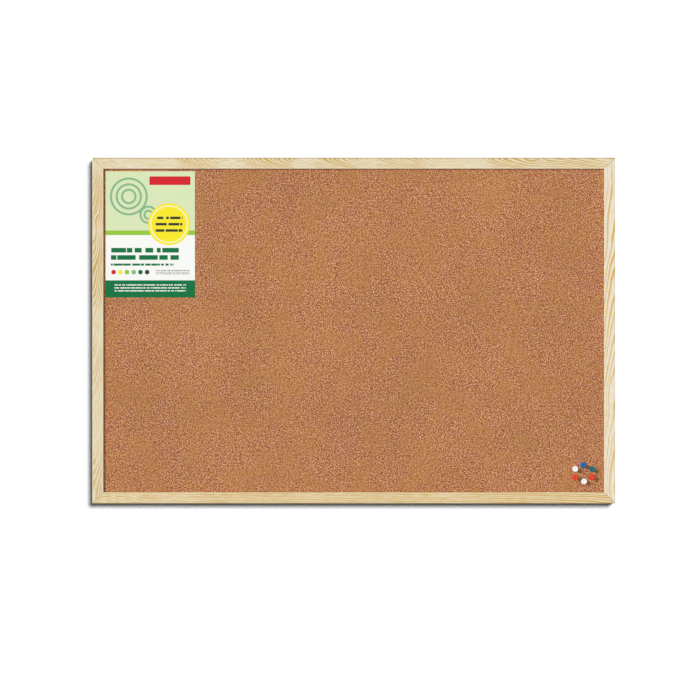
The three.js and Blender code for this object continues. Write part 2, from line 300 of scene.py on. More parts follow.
# Pine. Its growth rings are circles round a pith that lies behind the member and drifts along it, so they
# meet the front as slanting flames. X runs along the member, Y is minus pine_front_level on its front and Z
# is zero at its outer edge. What a figure says:
# across, depth, drift: where the pith lies, and the slope, bend and curl of its depth along X
# across_wander, depth_wander, wavelength: how far and how quickly it strays
# seed: where the figure lies in the noise
# spacing, coarse: a year's width, and what divides it from the member's start to its end
# shades: early and late wood
# late, line: how strong the late wood is, and its share of a year
# wash, streaky: how yellow the ground is, and how far that varies
# tone: what all of it is multiplied by
# outer_painted_shade, outer_painted_highlight, inner_painted_highlight: how dark the painted shade on the
# front's outer edge is, and how pale the painted highlights on its outer and inner edges are
# flame_shares: stretches where the rings show, by middle and half length, and how clearly they show there
# eye_shares: places where the rings bulge by eye_height and eye_pale whitens the ground, by the middle along
# and across, and the half length and half width
# What lies along is a share of half the member's length, and what lies across is one of its width.
pine_early = colour(247, 238, 214)
pine_late = colour(214, 175, 88)
pine_white = colour(248, 241, 225)
pine_orange = colour(229, 185, 88)
pine_wash = colour(232, 209, 156)
# Next: eye whitening that is also painted highlight on the front's edges, and painted shade for its outer
# edge
pine_pale_and_painted_highlight = colour(254, 247, 226)
pine_painted_edge_shade = colour(146, 114, 62)
pine_specular = 0.3
pine_front_level = 16 * mm
pine_usual = dict(
    shades=(pine_early, pine_late), coarse=[(0.0, 1.0), (1.0, 1.0)], outer_painted_highlight=0.0, eye_pale=0.0,
)
pine_figures = {
    "frame_top": dict(
        pine_usual, across=2 * mm, depth=40 * mm, drift=(-0.055, 0.03, 0.0), spacing=0.5 * mm,
        across_wander=4 * mm, depth_wander=0.8 * mm, wavelength=130 * mm, seed=3.7,
        late=2.5, line=0.34, wash=0.3, tone=colour(249, 249, 248), outer_painted_shade=1.0, inner_painted_highlight=1.0,
        coarse=[(0.72, 1.0), (0.84, 0.5)], streaky=2.6, eye_height=1.1 * mm,
        flame_shares=[
            (-0.6, 0.09, 0.8), (-0.32, 0.11, 1.0), (-0.06, 0.1, 0.9), (0.2, 0.12, 0.7), (0.62, 0.12, 1.0),
            (0.85, 0.14, 1.0),
        ],
        eye_shares=[(0.71, 0.45, 0.02, 0.5), (0.8, 0.7, 0.06, 0.4)],
    ),
    "frame_bottom": dict(
        pine_usual, across=30 * mm, depth=10 * mm, drift=(0.0, 0.045, -0.076), spacing=2.8 * mm,
        across_wander=1.5 * mm, depth_wander=2 * mm, wavelength=220 * mm, seed=11.2,
        late=3.4, line=0.2, wash=0.35, tone=colour(246, 239, 226), outer_painted_shade=0.2, inner_painted_highlight=0.4,
        coarse=[(0.0, 1.0), (1.0, 1.3)], streaky=3.4, eye_height=2.6 * mm, eye_pale=1.0,
        flame_shares=[(-0.8, 0.45, 1.0), (-0.1, 0.3, 0.7), (0.4, 0.25, 0.8), (0.9, 0.18, 0.5)],
        eye_shares=[
            (0.955, 0.3, 0.012, 0.35), (0.92, 0.5, 0.012, 0.3), (0.885, 0.35, 0.014, 0.35),
            (0.84, 0.55, 0.016, 0.3),
        ],
    ),
    "frame_left": dict(
        pine_usual, across=3 * mm, depth=40 * mm, drift=(-0.045, 0.0, 0.0), spacing=0.85 * mm,
        across_wander=4 * mm, depth_wander=1.2 * mm, wavelength=100 * mm, seed=24.9,
        late=1.8, line=0.34, wash=0.15, tone=colour(244, 240, 231),
        outer_painted_shade=0.0, outer_painted_highlight=0.8, inner_painted_highlight=1.0, streaky=2.4, eye_height=1.3 * mm, eye_pale=0.2,
        flame_shares=[(0.75, 0.2, 1.0), (0.35, 0.25, 1.0), (-0.2, 0.15, 0.6), (-0.85, 0.15, 0.6)],
        eye_shares=[(0.64, 0.3, 0.05, 0.4), (0.5, 0.9, 0.02, 0.5)],
    ),
    "frame_right": dict(
        pine_usual, across=5 * mm, depth=36 * mm, drift=(-0.055, 0.0, 0.25), spacing=1.8 * mm,
        across_wander=5 * mm, depth_wander=1.6 * mm, wavelength=120 * mm, seed=38.4,
        late=1.8, line=0.22, wash=0.12, tone=colour(248, 247, 245), shades=(pine_white, pine_orange),
        outer_painted_shade=0.2, inner_painted_highlight=0.5, streaky=3.2,
        flame_shares=[(-0.5, 0.5, 1.0), (0.1, 0.5, 0.8), (0.6, 0.5, 0.7)],
        eye_shares=[],
    ),
}
pine_waves = [(34 * mm, 5 * mm, 0.1 * mm), (24 * mm, 14 * mm, 0.3 * mm)]
pine_depth_seed = 50
pine_spacing_seed = 90
pine_spacing_wander = 0.45
pine_spacing_wavelength = 1.7
pine_faint_share = 0.25
pine_full_share = 0.5
pine_late_shares = (0.2, 1.2)
pine_streak = dict(length=16 * mm, width=1.7 * mm)
pine_fibre = dict(length=30 * mm, width=0.4 * mm)
pine_fibre_tone = 0.92
pine_edge_width = 2.2 * mm
pine_edge_stops = [(0.0, 1.0), (1.0, 0.0)]
pine_late_relief_share = 0.6
pine_relief = 0.03 * mm
pine_roughness = (0.38, 0.55)


def pith_distance(paint, figure, along, depth, across):
    pith_across = paint.wander(along, figure["across_wander"], figure["wavelength"], figure["seed"])
    pith_across = paint.math("ADD", pith_across, figure["across"])
    slope, bend, curl = figure["drift"]
    drift = paint.scaled(along, curl, bend)
    drift = paint.times(paint.scaled(along, drift, slope), along)
    depth_seed = figure["seed"] + pine_depth_seed
    pith_depth = paint.wander(along, figure["depth_wander"], figure["wavelength"], depth_seed)
    pith_depth = paint.math("ADD", paint.math("ADD", pith_depth, drift), figure["depth"])
    sideways = paint.math("POWER", paint.math("SUBTRACT", across, pith_across), 2)
    inward = paint.math("POWER", paint.math("SUBTRACT", depth, pith_depth), 2)
    return paint.math("SQRT", paint.math("ADD", sideways, inward))


def pine_bulges(paint, figure, share_along, share_across):
    """For each eye a level that falls smoothly from 1 at its middle."""
    bulges = []
    for middle, level, long, wide in figure["eye_shares"]:
        long_off = paint.scaled(share_along, 1 / long, -middle / long)
        wide_off = paint.scaled(share_across, 1 / wide, -level / wide)
        off = paint.math("ADD", paint.math("POWER", long_off, 2), paint.math("POWER", wide_off, 2))
        bulges.append(paint.math("EXPONENT", paint.times(off, -1.0)))
    return bulges


def pine_late_wood(paint, figure, radius, share_along):
    """A level that is high in each year's late wood."""
    ring = paint.math("DIVIDE", paint.math("SUBTRACT", radius, figure["depth"]), figure["spacing"])
    coarse = paint.ramp(paint.spread(share_along, level_middle, 1.0), figure["coarse"])
    ring = paint.times(ring, coarse)
    spacing_seed = figure["seed"] + pine_spacing_seed
    uneven = paint.wander(ring, pine_spacing_wander, pine_spacing_wavelength, spacing_seed)
    year = paint.math("FRACT", paint.math("ADD", ring, uneven))
    line = figure["line"]
    # Pale early wood, then late wood that darkens to the year's end and fades at the next one's start
    stops = [(0.0, 0.3), (0.1, 0.0), (0.85 - line, 0.05), (0.98 - line / 2, 1.0), (0.96, 0.85), (1.0, 0.3)]
    return paint.ramp(year, stops)


def pine_flames(paint, figure, share_along):
    """How clearly the rings show along the member."""
    shown = pine_faint_share
    for middle, long, clear in figure["flame_shares"]:
        off = paint.math("ABSOLUTE", paint.math("SUBTRACT", share_along, middle))
        stops = [(pine_full_share, clear), (1.0, pine_faint_share)]
        shown = paint.math("MAXIMUM", paint.ramp(paint.math("DIVIDE", off, long), stops), shown)
    return shown


def pine_edges(paint, figure, depth, across, base):
    """Darkens the front's outer edge with painted shade, and pales its outer and inner edges with painted
    highlights.
    """

    def near(offset):
        """A level that falls from 1 at an edge to 0 at the edge's width from it."""
        return paint.ramp(paint.math("DIVIDE", offset, pine_edge_width), pine_edge_stops)

    front = near(paint.math("ADD", depth, pine_front_level))
    outer = paint.times(near(paint.times(across, -1.0)), front)
    inner = paint.times(near(paint.math("ADD", across, member_width)), front)
    inner = paint.times(inner, figure["inner_painted_highlight"])
    # Painted shade darkens the outer edge, and painted highlights pale the outer and inner edges
    base = paint.mix(paint.times(outer, figure["outer_painted_shade"]), base, pine_painted_edge_shade)
    pale = paint.math("MAXIMUM", inner, paint.times(outer, figure["outer_painted_highlight"]))
    return paint.mix(pale, base, pine_pale_and_painted_highlight)


def pine_material(name, figure, half_length):
    paint = Paint(name + "_pine", specular=pine_specular)
    place = paint.vector("ADD", paint.place, (0.0, member_depth - pine_front_level, 0.0))
    along, depth, across = paint.split(place)
    share_along = paint.math("DIVIDE", along, half_length)
    share_across = paint.math("DIVIDE", across, -member_width)
    seeds = (figure["seed"],) * 3

    def long_noise(length, width, **settings):
        """Noise drawn out along the member."""
        drawn_out = paint.vector("MULTIPLY_ADD", place, (1 / length, 1 / width, 1 / width), seeds)
        return paint.noise(1.0, drawn_out, detail=3, **settings)

    radius = pith_distance(paint, figure, along, depth, across)
    for length, width, height in pine_waves:
        radius = paint.math("ADD", radius, paint.spread(long_noise(length, width), -height, height))
    eyes = 0.0
    for bulge in pine_bulges(paint, figure, share_along, share_across):
        radius = paint.scaled(bulge, figure["eye_height"], radius)
        eyes = paint.math("MAXIMUM", bulge, eyes)
    late = pine_late_wood(paint, figure, radius, share_along)
    streak = long_noise(**pine_streak, roughness=0.6)
    fibre = long_noise(**pine_fibre)

    wash = paint.scaled(streak, figure["streaky"], figure["wash"] - figure["streaky"] / 2)
    early_shade, late_shade = figure["shades"]
    base = paint.mix(paint.add("Clamp", {0: wash}), early_shade, pine_wash)
    base = paint.mix(paint.times(eyes, figure["eye_pale"]), base, pine_pale_and_painted_highlight)
    strength = paint.times(late, pine_flames(paint, figure, share_along))
    least, most = [share * figure["late"] for share in pine_late_shares]
    strength = paint.times(strength, paint.spread(streak, least, most))
    base = paint.mix(paint.add("Clamp", {0: strength}), base, late_shade)
    base = pine_edges(paint, figure, depth, across, base)
    base = paint.mix(1.0, base, figure["tone"], "MULTIPLY")
    base = paint.darken(base, fibre, pine_fibre_tone)
    height = paint.math("ADD", fibre, paint.times(late, pine_late_relief_share))
    paint.bump(height, pine_relief)
    return paint.finish(base, paint.spread(fibre, *pine_roughness))


# Steel, bright or plated: fine brushing and clouding in the finish
steel_brush_size = 0.9 * mm
steel_brushing = (1.0, 1.0, 12.0)
steel_brush_tone = 0.72
steel_cloud_size = 5 * mm
steel_relief = 0.01 * mm
steel_rougher = 0.15
steel_finishes = {
    "bright": dict(shade=0.52, roughness=0.22, clouding=(0.8, 0.82, 0.86)),
    "plated": dict(shade=0.5, roughness=0.2, clouding=(0.86, 0.84, 0.76)),
}


def steel_material(name, shade, roughness, clouding):
    paint = Paint(name, metallic=1.0)
    brushed = paint.vector("MULTIPLY", paint.place, steel_brushing)
    brushed = paint.noise(steel_brush_size, brushed, detail=4)
    cloud = paint.noise(steel_cloud_size, detail=3)
    tinted = [shade * share for share in clouding]
    base = paint.mix(cloud, (*tinted, 1), (shade, shade, shade, 1))
    paint.bump(brushed, steel_relief)
    base = paint.darken(base, brushed, steel_brush_tone)
    return paint.finish(base, paint.spread(cloud, roughness, roughness + steel_rougher))


# Moulded plastic for the pins: faint flow marks and a fine eggshell grain under the gloss
plastic_specular = 0.17
plastic_flow_size = 2.5 * mm
plastic_flow_share = 0.9
plastic_flow_stops = [(0.35, 0.0), (0.65, 1.0)]
plastic_grain_size = 0.25 * mm
plastic_relief = 0.006 * mm
plastic_roughness = (0.18, 0.3)


def plastic_material(name, shade):
    paint = Paint(name, specular=plastic_specular)
    flow = paint.noise(plastic_flow_size, detail=3, roughness=0.6)
    darker = [plastic_flow_share * channel for channel in shade[:3]]
    base = paint.mix(paint.ramp(flow, plastic_flow_stops), (*darker, 1), shade)
    paint.bump(paint.noise(plastic_grain_size), plastic_relief)
    return paint.finish(base, paint.spread(flow, *plastic_roughness))


# Printed card. Places and sizes are shares of the card's width across and of its height up, from its middle.
# Radii, lines, words and roundings are shares of its width.
card_white = colour(250, 250, 247)
card_field = colour(220, 233, 187)
card_lime = colour(152, 200, 58)
card_green = colour(0, 112, 60)
card_leaf = colour(138, 186, 142)
card_red = colour(214, 32, 44)
card_yellow = colour(250, 234, 40)
card_pale_yellow = colour(250, 246, 190)
card_ink = colour(46, 52, 44)
card_field_shares = (0.0, 0.28, 1.2, 0.5)
card_band_shares = (0.0, 0.012, 1.2, 0.036)
card_rounding_share = 0.004
card_rings_shares = [
    (-0.24, 0.3, 0.075), (-0.24, 0.3, 0.135), (-0.24, 0.3, 0.2), (-0.02, 0.155, 0.09), (-0.02, 0.155, 0.045),
]
card_ring_line_share = 0.024
card_bar_shares = (0.22, 0.425, 0.46, 0.068)
card_bar_rounding_share = 0.01
card_disc_shares = (0.21, 0.08, 0.235)
card_disc_ring_shares = (0.21, 0.08, 0.205)
card_disc_line_share = 0.016
card_disc_words_shares = (0.21, 0.08, 0.3, 0.15)
card_heading_shares = (-0.06, -0.155, 0.76, 0.115)
card_subheading_shares = (-0.09, -0.24, 0.7, 0.024)
card_swatch_start_shares = (-0.41, -0.3)
card_swatch_step_share = 0.075
card_swatch_radius_share = 0.026
card_swatch_colours = [card_red, card_yellow, card_lime, card_leaf, card_green, card_ink]
card_small_print_shares = (0.25, -0.3, 0.38, 0.042)
card_footer_shares = (0.0, -0.44, 1.2, 0.15)
card_footer_words_shares = (0.0, -0.425, 0.8, 0.07)
card_word_level = 0.41
card_row_shift = 13.7
card_specular = 0.18
card_roughness = (0.36, 0.5)
card_fibre_size = 0.4 * mm
card_fibre_tone = 0.97
card_relief = 0.01 * mm


def card_material(width, height):
    paint = Paint("card_print", specular=card_specular)
    flat = paint.vector("MULTIPLY", paint.place, (1 / width, 0.0, 1 / width))
    across, _, up = paint.split(flat)
    tall = height / width

    def away_from(middle_x, middle_z):
        return paint.vector("SUBTRACT", flat, (middle_x, 0.0, middle_z * tall))

    def distance(away):
        return paint.vector("LENGTH", away, output="Value")

    def inside(shares, rounding=card_rounding_share):
        """A rectangle with round corners."""
        middle_x, middle_z, wide, high = shares
        away = paint.vector("ABSOLUTE", away_from(middle_x, middle_z))
        reach = (wide / 2 - rounding, 1.0, high * tall / 2 - rounding)
        beyond = paint.vector("MAXIMUM", paint.vector("SUBTRACT", away, reach), (0.0, 0.0, 0.0))
        return paint.math("LESS_THAN", distance(beyond), rounding)

    def disc(middle_x, middle_z, radius):
        return paint.math("LESS_THAN", distance(away_from(middle_x, middle_z)), radius)

    def ring(middle_x, middle_z, radius, line):
        return paint.math("COMPARE", distance(away_from(middle_x, middle_z)), radius, line / 2)

    def bars(shares, rows, filled, word, seed):
        """Rows of broken bars that stand in for lines of print."""
        middle_x, middle_z, wide, high = shares
        row = paint.math("SUBTRACT", up, (middle_z - high / 2) * tall)
        row = paint.math("DIVIDE", row, high * tall / rows)
        inked = paint.math("COMPARE", paint.math("FRACT", row), level_middle, filled / 2)
        step = paint.scaled(paint.math("FLOOR", row), card_row_shift, seed)
        words = paint.math("GREATER_THAN", paint.line_noise(across, word, step, detail=2.0), card_word_level)
        return paint.times(inside(shares), paint.times(inked, words))

    layers = [(inside(card_field_shares), card_field), (inside(card_band_shares), card_lime)]
    layers += [(ring(*shares, card_ring_line_share), card_leaf) for shares in card_rings_shares]
    layers += [
        (inside(card_bar_shares, card_bar_rounding_share), card_red),
        (disc(*card_disc_shares), card_yellow),
        (ring(*card_disc_ring_shares, card_disc_line_share), card_pale_yellow),
        (bars(card_disc_words_shares, rows=3, filled=0.4, word=0.05, seed=5.0), card_ink),
        (bars(card_heading_shares, rows=2, filled=0.64, word=0.06, seed=2.0), card_green),
        (bars(card_subheading_shares, rows=1, filled=0.7, word=0.025, seed=8.0), card_green),
        (inside(card_footer_shares), card_green),
        (bars(card_footer_words_shares, rows=3, filled=0.36, word=0.02, seed=3.0), card_white),
        (bars(card_small_print_shares, rows=3, filled=0.35, word=0.012, seed=6.0), card_ink),
    ]
    swatch_x, swatch_z = card_swatch_start_shares
    for step, shade in enumerate(card_swatch_colours):
        swatch = disc(swatch_x + step * card_swatch_step_share, swatch_z, card_swatch_radius_share)
        layers.append((swatch, shade))

    base = card_white
    for mask, shade in layers:
        base = paint.mix(mask, base, shade)
    fibre = paint.noise(card_fibre_size, detail=4, roughness=0.65)
    paint.bump(fibre, card_relief)
    return paint.finish(paint.darken(base, fibre, card_fibre_tone), paint.spread(fibre, *card_roughness))


def place_object(name, data, matrix=Matrix.Identity(4)):
    thing = bpy.data.objects.new(name, data)
    bpy.context.scene.collection.objects.link(thing)
    thing.matrix_world = matrix
    return thing


def solid(name, points, faces, matrix):
    mesh = bpy.data.meshes.new(name)
    mesh.from_pydata([tuple(point) for point in points], [], faces)
    shape = bmesh.new()
    shape.from_mesh(mesh)
    bmesh.ops.recalc_face_normals(shape, faces=shape.faces)
    shape.to_mesh(mesh)
    shape.free()
    return place_object(name, mesh, matrix)


def settle(thing):
    """Puts what the modifiers make into the mesh and drops them."""
    bpy.context.view_layer.update()
    settled = bpy.data.meshes.new_from_object(thing.evaluated_get(bpy.context.evaluated_depsgraph_get()))
    thing.modifiers.clear()
    thing.data = settled


def bevel(thing, width):
    modifier = thing.modifiers.new("bevel", "BEVEL")
    modifier.width = width
    modifier.segments = bevel_steps
    modifier.limit_method = "ANGLE"
    modifier.angle_limit = math.radians(bevel_least_angle)
    settle(thing)


def paint_piece(thing, material):
    thing.data.materials.clear()
    thing.data.materials.append(material)


def cut(thing, cutter, operation="DIFFERENCE"):
    modifier = thing.modifiers.new("cut", "BOOLEAN")
    modifier.operation = operation
    modifier.solver = "EXACT"
    modifier.object = cutter
    settle(thing)
    bpy.data.objects.remove(cutter)


def dress(thing, body, material, node):
    """Gives a finished piece its shading, material and body, and hides the node that it stands for."""
    thing.data.shade_smooth()
    thing.data.set_sharp_from_angle(angle=math.radians(sharp_angle))
    weighted = thing.modifiers.new("flat_faces_stay_flat", "WEIGHTED_NORMAL")
    weighted.keep_sharp = True
    weighted.weight = flat_face_weight
    settle(thing)
    paint_piece(thing, material)
    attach(thing, body)
    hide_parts(node)


def band(start, sides):
    """The faces between a row of points and the next, from the number of the row's first point."""
    pairs = [(start + side, start + (side + 1) % sides) for side in range(sides)]
    return [(here, after, after + sides, here + sides) for here, after in pairs]


def closed(rows, sides):
    """The faces of a solid made of rows of points, with a flat face at each end."""
    count = rows * sides
    faces = [tuple(range(sides)), tuple(range(count - 1, count - sides - 1, -1))]
    for row in range(rows - 1):
        faces += band(row * sides, sides)
    return faces


def prism(name, outline, low, high, matrix=Matrix.Identity(4)):
    """A closed solid from an outline in X and Z, between two levels of Y."""
    points = [(x, y, z) for y in (low, high) for x, z in outline]
    return solid(name, points, closed(2, len(outline)), matrix)


def lathe(name, profile, sides, matrix):
    """A closed solid turned round Z, from a profile of radius and height that starts and ends on the axis."""
    points = [(0, 0, profile[0][1])]
    for radius, height in profile[1:-1]:
        points += [(x, y, height) for x, y in circle((0, 0), radius, sides)]
    points.append((0, 0, profile[-1][1]))
    last = len(points) - 1
    faces = []
    for start in range(1, last - sides, sides):
        faces += band(start, sides)
    for side in range(sides):
        after = (side + 1) % sides
        faces += [(0, 1 + after, 1 + side), (last, last - sides + side, last - sides + after)]
    return solid(name, points, faces, matrix)


def sweep(name, path, radius, sides, matrix):
    """A round wire along a path that lies in the XZ plane."""
    points = []
    for i, here in enumerate(path):
        before = path[max(i - 1, 0)]
        after = path[min(i + 1, len(path) - 1)]
        forward = (Vector(after) - Vector(before)).normalized()
        outward = Vector((-forward.z, 0, forward.x))
        points += [Vector(here) + x * outward + Vector((0, y, 0)) for x, y in circle((0, 0), radius, sides)]
    return solid(name, points, closed(len(path), sides), matrix)


def arc(middle, radius, start, end, steps):
    """Points on a circle, from one angle to another in degrees."""
    turns = [math.radians(start + (end - start) * step / steps) for step in range(steps + 1)]
    return [(middle[0] + radius * math.cos(turn), middle[1] + radius * math.sin(turn)) for turn in turns]


def circle(middle, radius, sides):
    return arc(middle, radius, 0, 360, sides)[:-1]


def curve(start, handle, end, steps):
    """Points on a quadratic curve, its start left out."""
    points = []
    for step in range(1, steps + 1):
        t = step / steps
        weights = ((1 - t) ** 2, 2 * t * (1 - t), t * t)
        points.append([sum(w * v for w, v in zip(weights, values)) for values in zip(start, handle, end)])
    return points


# Frame members
def member_profile():
    """Depth and height round a member: zero is its back and its outer edge."""
    front, inner, radius = -member_depth, -member_width, member_edge_radius
    groove_front = cork_front_y - board_high.y - panel_face_gap
    groove_back = cork_rear_y - board_high.y + panel_face_gap
    groove_floor = inner + groove_depth
    steps = member_edge_steps
    profile = arc((-radius, -radius), radius, 0, 90, steps)
    profile += arc((front + radius, -radius), radius, 90, 180, steps)
    profile += arc((front + radius, inner + radius), radius, 180, 270, steps)
    profile += [(groove_front, inner), (groove_front, groove_floor)]
    profile += [(groove_back, groove_floor), (groove_back, inner)]
    profile += arc((-radius, inner + radius), radius, 270, 360, steps)
    return profile


def mitred_member(name, length, matrix):
    """A member whose ends slant in by its own height, so that they meet at 45 degrees."""
    profile = member_profile()
    half = length / 2 - mitre_gap / math.sqrt(2)
    points = [(end * (half + height), depth, height) for end in (-1, 1) for depth, height in profile]
    member = solid(name, points, closed(2, len(profile)), matrix)
    bevel(member, mitre_bevel)
    return member


def v_nail_slot(corner):
    """A cutter round a V-nail, whose bend is the corner of its box that is nearest the board's middle."""
    low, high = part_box("v_nail_" + corner)
    bend_x, tip_x = sorted((low.x, high.x), key=abs)
    bend_z, tip_z = sorted((low.z, high.z), key=lambda z: abs(z - board_middle.z))
    right = math.copysign(1, tip_x - bend_x)
    up = math.copysign(1, tip_z - bend_z)
    gap = v_nail_slot_gap
    leg = v_nail_thickness + gap
    reach_x = abs(tip_x - bend_x) + gap
    reach_z = abs(tip_z - bend_z) + gap
    outline = [(-gap, -gap), (reach_x, -gap), (reach_x, leg), (leg, leg), (leg, reach_z), (-gap, reach_z)]
    placed = [(bend_x + right * x, bend_z + up * z) for x, z in outline]
    return prism("slot", placed, low.y - gap, board_high.y + cut_overrun)


def screw_hole(side, gap):
    """A cutter along a hanger's screw, from its tip to just past its strap."""
    low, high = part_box(f"hanger_{side}_screw")
    middle = (low + high) / 2
    outline = circle((middle.x, middle.z), screw_shank_radius + gap, hole_sides)
    return prism("screw_hole", outline, low.y - gap, board_high.y + cut_overrun)


def frame_members():
    for side, turn in {"top": 0, "bottom": 180, "left": -90, "right": 90}.items():
        upright = side in ("left", "right")
        length, across = (board_size.z, board_size.x) if upright else (board_size.x, board_size.z)
        rotation = Matrix.Rotation(math.radians(turn), 4, "Y")
        middle = Vector((board_middle.x, board_high.y, board_middle.z))
        matrix = Matrix.Translation(middle) @ rotation @ Matrix.Translation((0, 0, across / 2))
        member = mitred_member("pine_" + side, length, matrix)
        for corner in board_corners:
            if side in corner:
                cut(member, v_nail_slot(corner))
        if upright:
            cut(member, screw_hole(side, pilot_gap))
        node = "frame_" + side
        dress(member, "board", pine_material(node, pine_figures[node], length / 2), node)


# Card on the cork
card_corner_radius = 0.6 * mm
card_corner_steps = 4


def printed_card():
    low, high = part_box("label_card")
    size = high - low
    x, z = size.x / 2 - card_corner_radius, size.z / 2 - card_corner_radius
    outline = []
    for turn, corner in {0: (x, z), 90: (-x, z), 180: (-x, -z), 270: (x, -z)}.items():
        outline += arc(corner, card_corner_radius, turn, turn + 90, card_corner_steps)
    card = prism("printed_card", outline, -size.y / 2, size.y / 2, Matrix.Translation((low + high) / 2))
    dress(card, "board", card_material(size.x, size.z), "label_card")


# Push pins: heights from the flange's seat, and turns in degrees
pin_flange_rim = 1.1 * mm
pin_shoulder_inset = 1.6 * mm
pin_shoulder_rise = 0.12 * mm
pin_shoulder_bow = 0.2 * mm
pin_waist_radius = 2.3 * mm
pin_waist_start = 3.9 * mm
pin_waist_end = 7.6 * mm
pin_cap_radius = 3.8 * mm
pin_cap_underside = 10 * mm
pin_edge_radius = 0.45 * mm
pin_edge_start_turn = -75
pin_edge_steps = 5
pin_under_edge_steps = 4
pin_dish = 0.45 * mm
pin_dish_share = 0.8
pin_dish_steps = 4
pin_waist_steps = 8
pin_sides = 48
needle_bore_gap = 0.1 * mm
needle_tip = 2.5 * mm
needle_bow_shares = (0.6, 0.4)
needle_tip_steps = 5
needle_sides = 24
pin_names = ("white_left", "blue", "teal", "red_left", "red_right", "white_low")
plastic_colours = {
    "pin_white": colour(252, 252, 250),
    "pin_blue": colour(0, 104, 182),
    "pin_teal": colour(0, 112, 116),
    "pin_red": colour(238, 66, 38),
}


def rounded_rim(radius, low, high):
    """The outside of a disc, from its underside round to its top."""
    edge = pin_edge_radius
    under = arc((radius - edge, low + edge), edge, pin_edge_start_turn, 0, pin_under_edge_steps)
    return under + arc((radius - edge, high - edge), edge, 0, 90, pin_edge_steps)


def pin_profile(flange_radius, height, bore, bore_depth):
    edge, waist = pin_edge_radius, pin_waist_radius
    profile = [(0, bore_depth), (bore, bore_depth), (bore, 0), (flange_radius - edge, 0)]
    profile += rounded_rim(flange_radius, 0, pin_flange_rim)
    shoulder = (flange_radius - pin_shoulder_inset, pin_flange_rim + pin_shoulder_rise)
    bow = (waist, pin_flange_rim + pin_shoulder_bow)
    profile += [shoulder, *curve(shoulder, bow, (waist, pin_waist_start), pin_waist_steps)]
    under = (pin_cap_radius - edge, pin_cap_underside)
    profile.append((waist, pin_waist_end))
    profile += curve((waist, pin_waist_end), (waist, pin_cap_underside), under, pin_waist_steps)
    profile += rounded_rim(pin_cap_radius, pin_cap_underside, height)
    dish = pin_cap_radius - 2 * edge
    floor = (dish * pin_dish_share, height - pin_dish)
    profile += curve((pin_cap_radius - edge, height), (dish, height), floor, pin_dish_steps)
    profile.append((0, height - pin_dish))
    return profile


def push_pin(name, plastic, steel):
    head_low, head_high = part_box(f"pin_{name}_head")
    needle_low, needle_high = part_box(f"pin_{name}_needle")
    middle = (head_low + head_high) / 2
    seat = Matrix.Translation((middle.x, head_high.y, middle.z)) @ Matrix.Rotation(math.pi / 2, 4, "X")
    needle_radius = (needle_high.x - needle_low.x) / 2
    insert = head_high.y - needle_low.y
    reach = needle_high.y - head_high.y
    bore = needle_radius + needle_bore_gap
    flange_radius, height = (head_high.x - head_low.x) / 2, head_high.y - head_low.y
    profile = pin_profile(flange_radius, height, bore, insert + needle_bore_gap)
    head = lathe(name + "_pin_head", profile, pin_sides, seat)
    dress(head, name + "_pin", plastic, f"pin_{name}_head")
    bow_out, bow_up = needle_bow_shares
    bow = (needle_radius * bow_out, -reach + needle_tip * bow_up)
    point = curve((0, -reach), bow, (needle_radius, needle_tip - reach), needle_tip_steps)
    profile = [(0, -reach), *point, (needle_radius, insert), (0, insert)]
    needle = lathe(name + "_pin_needle", profile, needle_sides, seat)
    dress(needle, name + "_pin", steel, f"pin_{name}_needle")


# Ring hangers on the back of the side members, with turns in degrees
strap_thickness = 0.8 * mm
strap_corner_radius = 2.5 * mm
strap_corner_steps = 8
strap_slit = 0.25 * mm
strap_edge = 0.12 * mm
strap_roll_steps = 40
strap_hole_gap = 0.3 * mm
ring_wire_radius = 1 * mm
ring_wire_sides = 20
ring_corner_radius = 2 * mm
ring_corner_steps = 10
ring_bow_steps = 48
ring_split = 0.4 * mm
screw_sides = 40
screw_turn = 20
screw_head_rim = 0.5 * mm
screw_head_steps = 12
screw_tip = 3 * mm
screw_recess_span = 3.4 * mm
screw_recess_width = 0.8 * mm
screw_recess_depth = 1.1 * mm


def strap_outline(low, high):
    """The strap seen from behind, with round corners at its foot and room to spare at its top and sides."""
    radius = strap_corner_radius
    left, right, top = low.x - cut_overrun, high.x + cut_overrun, high.z + cut_overrun
    outline = [(right, low.z + radius), (right, top), (left, top), (left, low.z + radius)]
    outline += arc((low.x + radius, low.z + radius), radius, 180, 270, strap_corner_steps)
    return outline + arc((high.x - radius, low.z + radius), radius, 270, 360, strap_corner_steps)


def hanger_strap(side, pivot, steel):
    low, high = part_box(f"hanger_{side}_strap")
    curl = pivot.y - low.y
    slit = math.degrees(math.asin((strap_thickness + strap_slit - curl) / curl))
    rolled = [(low.y, low.z), *arc((pivot.y, pivot.z), curl, 180, slit, strap_roll_steps)]
    rolled += arc((pivot.y, pivot.z), curl - strap_thickness, slit, 180, strap_roll_steps)
    rolled.append((low.y + strap_thickness, low.z))
    # The side view's outline is swept along X, so X and Y change places, which turns the faces inside out
    swapped = Matrix(((0, 1, 0, 0), (1, 0, 0, 0), (0, 0, 1, 0), (0, 0, 0, 1)))
    strap = prism(side + "_hanger_strap", rolled, low.x, high.x)
    strap.data.transform(swapped)
    strap.data.flip_normals()
    bevel(strap, strap_edge)
    outline = prism("outline", strap_outline(low, high), low.y - cut_overrun, high.y + cut_overrun)
    cut(strap, outline, "INTERSECT")
    cut(strap, screw_hole(side, strap_hole_gap))
    dress(strap, "board", steel, f"hanger_{side}_strap")


